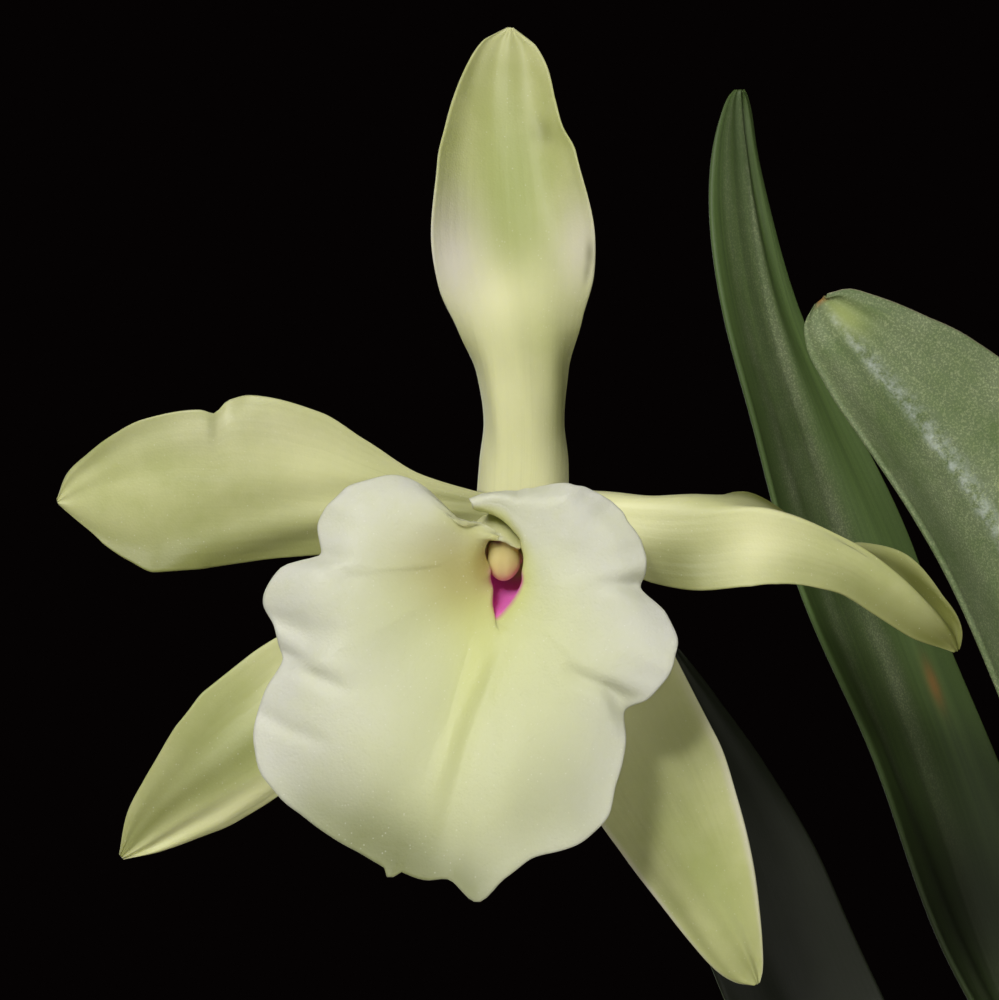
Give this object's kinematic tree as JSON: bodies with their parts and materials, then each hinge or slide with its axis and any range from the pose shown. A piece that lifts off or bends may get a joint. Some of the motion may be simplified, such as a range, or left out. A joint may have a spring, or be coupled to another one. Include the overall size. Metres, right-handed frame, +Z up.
{
  "type": "potted rhyncholaelia glauca",
  "caption": "Small orchid with a broad-lipped pale green flower, glaucous leaves and swollen stems, standing in a plain clay pot of bark.",
  "frame": {"origin": "centre of the pot's underside", "axes": "+Z up, -Y towards the side that the flower faces, +X to the right as the flower is looked at"},
  "size_m": [0.2032, 0.124, 0.3113],
  "materials": {
    "clay": "unglazed fired clay, matt",
    "bark": "fir bark chips, rough",
    "rhizome": "fibrous living stem, matt",
    "root": "spongy white root skin, matt",
    "pseudobulb": "living stem, satin, with dry papery sheaths",
    "leaf": "thick leaf with a whitish waxy bloom",
    "sheath": "dry papery flower sheath",
    "stalk": "living flower stalk, satin",
    "tepal": "waxy petal, satin, translucent",
    "lip": "soft crystalline petal, satin, translucent",
    "column": "fleshy, satin",
    "anther": "fleshy, satin"
  },
  "bodies": {
    "root": {"pot": "clay", "potting_bark": "bark", "rhizome": "rhizome", "root_1": "root", "root_2": "root", "root_3": "root", "root_4": "root", "root_5": "root", "root_6": "root", "pseudobulb_1": "pseudobulb", "pseudobulb_2": "pseudobulb", "pseudobulb_3": "pseudobulb", "pseudobulb_4": "pseudobulb", "leaf_front": "leaf", "leaf_back": "leaf", "leaf_lower": "leaf", "leaf_side": "leaf", "flower_sheath": "sheath", "flower_stalk": "stalk", "sepal_dorsal": "tepal", "sepal_left": "tepal", "sepal_right": "tepal", "petal_left": "tepal", "petal_right": "tepal", "lip": "lip", "column": "column", "anther_cap": "anther"}
  },
  "joints": []
}
